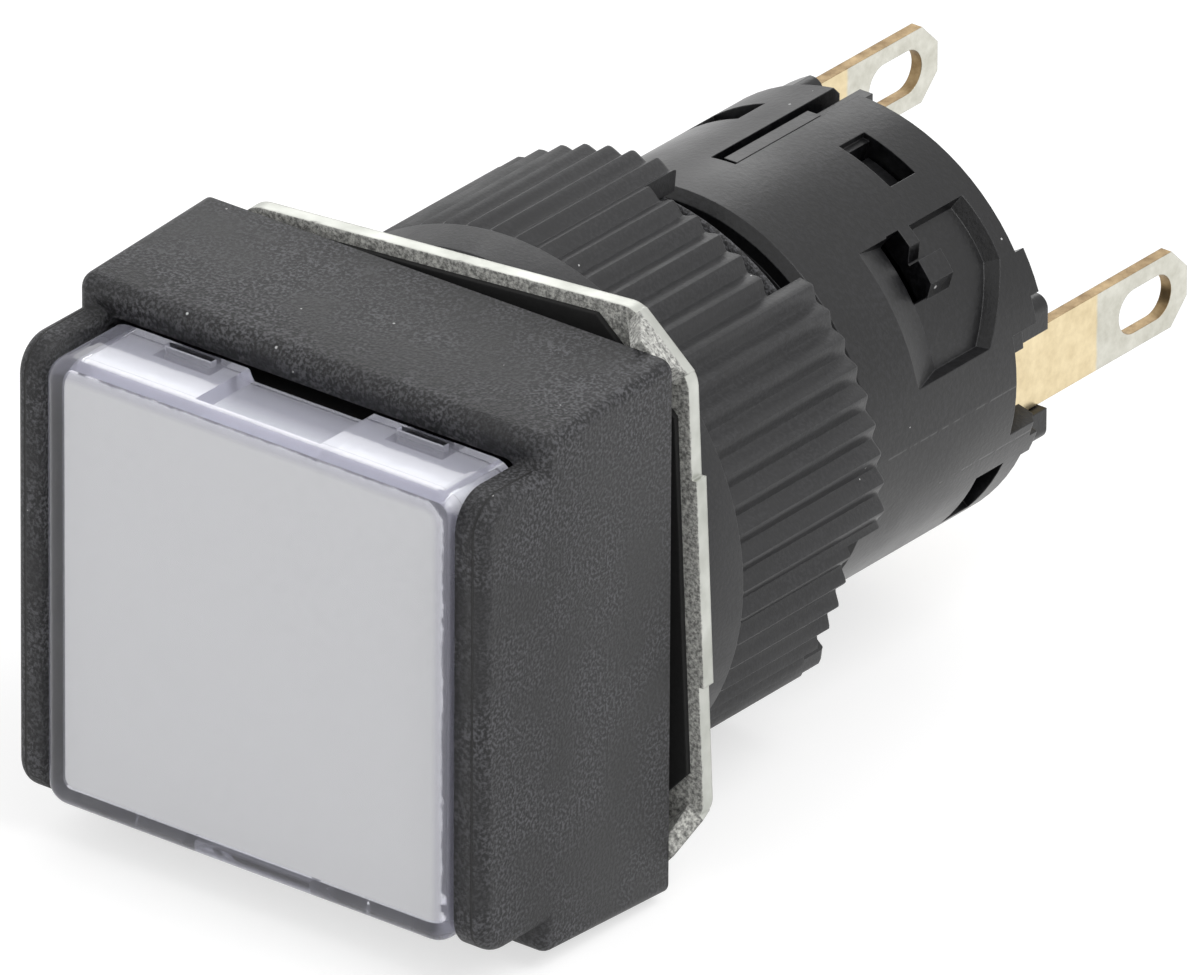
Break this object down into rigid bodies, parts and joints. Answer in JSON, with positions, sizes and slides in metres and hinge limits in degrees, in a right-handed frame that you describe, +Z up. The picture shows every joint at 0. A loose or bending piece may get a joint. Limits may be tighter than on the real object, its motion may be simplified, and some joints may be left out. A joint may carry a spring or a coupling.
{
  "type": "illuminated pushbutton switch",
  "caption": "Square-headed illuminated pushbutton switch for a round panel hole, with a guarded lens, a threaded barrel with locking nut, and a round contact block with flat terminals.",
  "frame": {"origin": "on the barrel's axis, in the rear face of the square head, where the front of the panel lies", "axes": "+Y along the axis from the panel towards the terminals, +Z up, button facing -Y"},
  "size_m": [0.0189, 0.0393, 0.0189],
  "materials": {
    "head_black": "fine spark-eroded grain",
    "plated_steel": "nickel plated, satin",
    "black_rubber": "matt",
    "nut_black": "matt",
    "clear_lens": "clear, lightly textured",
    "white_plate": "plain white",
    "milky_diffuser": "milky white",
    "inner_black": "plain",
    "spring_steel": "bright wire",
    "block_black": "smooth satin",
    "lamp_white": "milky, glossy",
    "plated_brass": "tinned tip over a gold-coloured root",
    "blade_brass": "rolled strip",
    "contact_silver": "silver contact alloy"
  },
  "bodies": {
    "body": {"bezel_housing": "head_black", "contact_block_case": "block_black", "contact_base": "block_black", "led_lamp": "lamp_white", "lamp_plus_terminal": "plated_brass", "lamp_minus_terminal": "plated_brass", "closed_contact_terminal": "plated_brass", "open_contact_terminal": "plated_brass", "common_terminal": "plated_brass", "closed_rivet": "contact_silver", "open_rivet": "contact_silver", "return_spring": "spring_steel"},
    "button": {"lens": "clear_lens", "marking_plate": "white_plate", "diffuser": "milky_diffuser", "lens_holder": "inner_black", "contact_slider": "inner_black"},
    "changeover": {"contact_blade": "blade_brass", "moving_rivet": "contact_silver"},
    "ring": {"anti_rotation_ring": "plated_steel", "panel_gasket": "black_rubber"},
    "nut": {"locking_nut": "nut_black"}
  },
  "joints": [
    {"name": "button_press", "type": "slide", "parent": "body", "child": "button", "axis": [0, 1, 0], "range_m": [0, 0.003], "stiffness_N_per_m": 400, "springref_m": -0.003, "deforming": ["return_spring"]},
    {"name": "blade_swing", "type": "hinge", "parent": "body", "child": "changeover", "pos_m": [-0.0036, 0.01765, 0.00025], "axis": [1, 0, 0], "range_deg": [0, 13.1]},
    {"name": "ring_slide", "type": "slide", "parent": "body", "child": "ring", "axis": [0, 1, 0], "range_m": [0, 0.004]},
    {"name": "nut_spin", "type": "hinge", "parent": "ring", "child": "nut", "pos_m": [0, 0.0064, 0], "axis": [0, 1, 0], "range_deg": [0, 1440]}
  ],
  "couplings": [
    {"joint": "blade_swing", "follows": "button_press", "rad_per_m": 76},
    {"joint": "nut_spin", "follows": "ring_slide", "rad_per_m": 6283.2}
  ]
}
